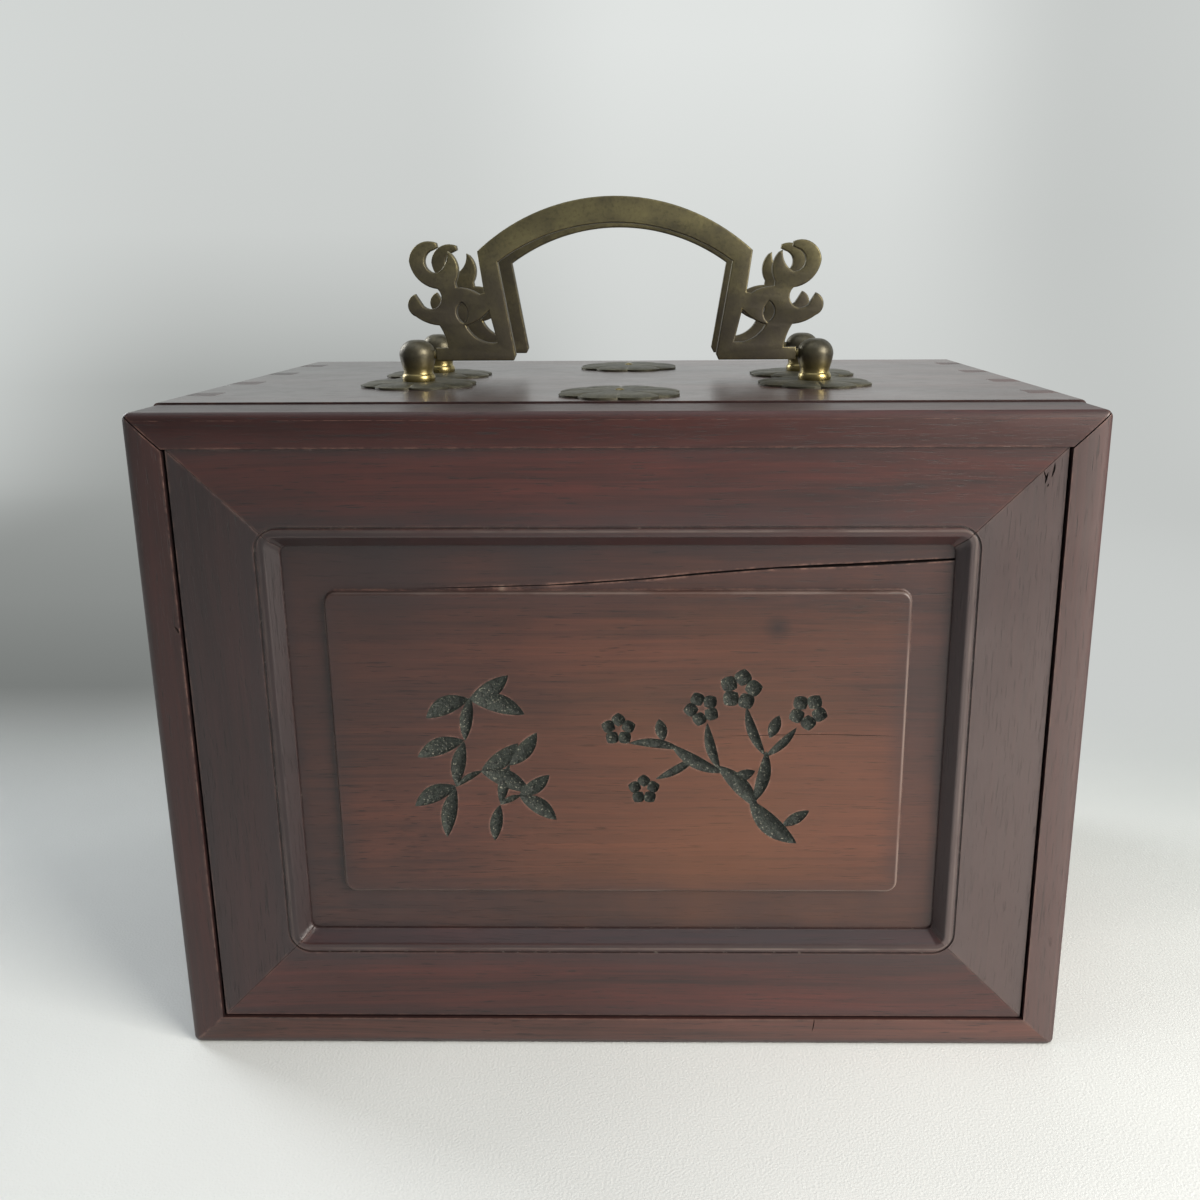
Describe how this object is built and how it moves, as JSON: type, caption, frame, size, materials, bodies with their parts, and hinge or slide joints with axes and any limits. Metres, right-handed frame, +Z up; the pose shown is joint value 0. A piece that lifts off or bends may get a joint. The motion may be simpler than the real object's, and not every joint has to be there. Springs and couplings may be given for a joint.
{
  "type": "mahjong case with drawers",
  "caption": "Carrying case for mahjong tiles: dovetailed rosewood box, lift-out framed front panel, shallow drawers behind it and a pair of folding cast brass bail handles.",
  "frame": {"origin": "centre of the bottom of the closed case", "axes": "+Z up, the panelled front faces -Y, +X to the right seen from the front, along the case's width"},
  "size_m": [0.2412, 0.173, 0.23],
  "materials": {
    "rosewood_dark": "polished dark rosewood, satin",
    "rosewood_field": "polished red-brown rosewood, satin",
    "drawer_wood": "unpolished paler hardwood, matte",
    "brass": "cast brass with dark olive patina, rubbed bright on the edges"
  },
  "bodies": {
    "case": {"top_board": "rosewood_dark", "bottom_board": "rosewood_dark", "left_side": "rosewood_dark", "right_side": "rosewood_dark", "back_panel": "rosewood_dark", "stile_left": "rosewood_dark", "stile_right": "rosewood_dark", "bottom_rail": "rosewood_dark", "shelf_1": "drawer_wood", "shelf_2": "drawer_wood", "shelf_3": "drawer_wood", "shelf_4": "drawer_wood", "post_front_left": "brass", "post_front_right": "brass", "post_back_left": "brass", "post_back_right": "brass", "post_plates": "brass", "post_washers": "brass", "strike_plates": "brass", "strike_nails": "brass"},
    "panel": {"top_rail": "rosewood_dark", "panel_rail_top": "rosewood_dark", "panel_rail_bottom": "rosewood_dark", "panel_stile_left": "rosewood_dark", "panel_stile_right": "rosewood_dark", "panel_field": "rosewood_field"},
    "front_handle": {"front_bail": "brass"},
    "back_handle": {"back_bail": "brass"},
    "drawer_1": {"drawer_1_front": "rosewood_field", "drawer_1_left": "drawer_wood", "drawer_1_right": "drawer_wood", "drawer_1_back": "drawer_wood", "drawer_1_bottom": "drawer_wood", "drawer_1_pull": "brass"},
    "drawer_2": {"drawer_2_front": "rosewood_field", "drawer_2_left": "drawer_wood", "drawer_2_right": "drawer_wood", "drawer_2_back": "drawer_wood", "drawer_2_bottom": "drawer_wood", "drawer_2_pull": "brass"},
    "drawer_3": {"drawer_3_front": "rosewood_field", "drawer_3_left": "drawer_wood", "drawer_3_right": "drawer_wood", "drawer_3_back": "drawer_wood", "drawer_3_bottom": "drawer_wood", "drawer_3_pull": "brass"},
    "drawer_4": {"drawer_4_front": "rosewood_field", "drawer_4_left": "drawer_wood", "drawer_4_right": "drawer_wood", "drawer_4_back": "drawer_wood", "drawer_4_bottom": "drawer_wood", "drawer_4_pull": "brass"},
    "drawer_5": {"drawer_5_front": "rosewood_field", "drawer_5_left": "drawer_wood", "drawer_5_right": "drawer_wood", "drawer_5_back": "drawer_wood", "drawer_5_bottom": "drawer_wood", "drawer_5_pull": "brass"}
  },
  "joints": [
    {"name": "panel_lift", "type": "slide", "parent": "case", "child": "panel", "axis": [0, 0, 1], "range_m": [0, 0.172]},
    {"name": "drawer_1_slide", "type": "slide", "parent": "case", "child": "drawer_1", "axis": [0, -1, 0], "range_m": [0, 0.115]},
    {"name": "drawer_2_slide", "type": "slide", "parent": "case", "child": "drawer_2", "axis": [0, -1, 0], "range_m": [0, 0.115]},
    {"name": "drawer_3_slide", "type": "slide", "parent": "case", "child": "drawer_3", "axis": [0, -1, 0], "range_m": [0, 0.115]},
    {"name": "drawer_4_slide", "type": "slide", "parent": "case", "child": "drawer_4", "axis": [0, -1, 0], "range_m": [0, 0.115]},
    {"name": "drawer_5_slide", "type": "slide", "parent": "case", "child": "drawer_5", "axis": [0, -1, 0], "range_m": [0, 0.115]},
    {"name": "front_handle_fold", "type": "hinge", "parent": "case", "child": "front_handle", "pos_m": [0, -0.0175, 0.18595], "axis": [1, 0, 0], "range_deg": [-20, 98]},
    {"name": "back_handle_fold", "type": "hinge", "parent": "case", "child": "back_handle", "pos_m": [0, 0.0175, 0.18595], "axis": [1, 0, 0], "range_deg": [-98, 20]}
  ],
  "couplings": [
    {"joint": "drawer_1_slide", "follows": "panel_lift", "ratio": 0.521},
    {"joint": "drawer_2_slide", "follows": "panel_lift", "ratio": 0.189},
    {"joint": "drawer_3_slide", "follows": "panel_lift", "ratio": 0.115},
    {"joint": "drawer_4_slide", "follows": "panel_lift", "ratio": 0.083},
    {"joint": "drawer_5_slide", "follows": "panel_lift", "ratio": 0.065}
  ]
}
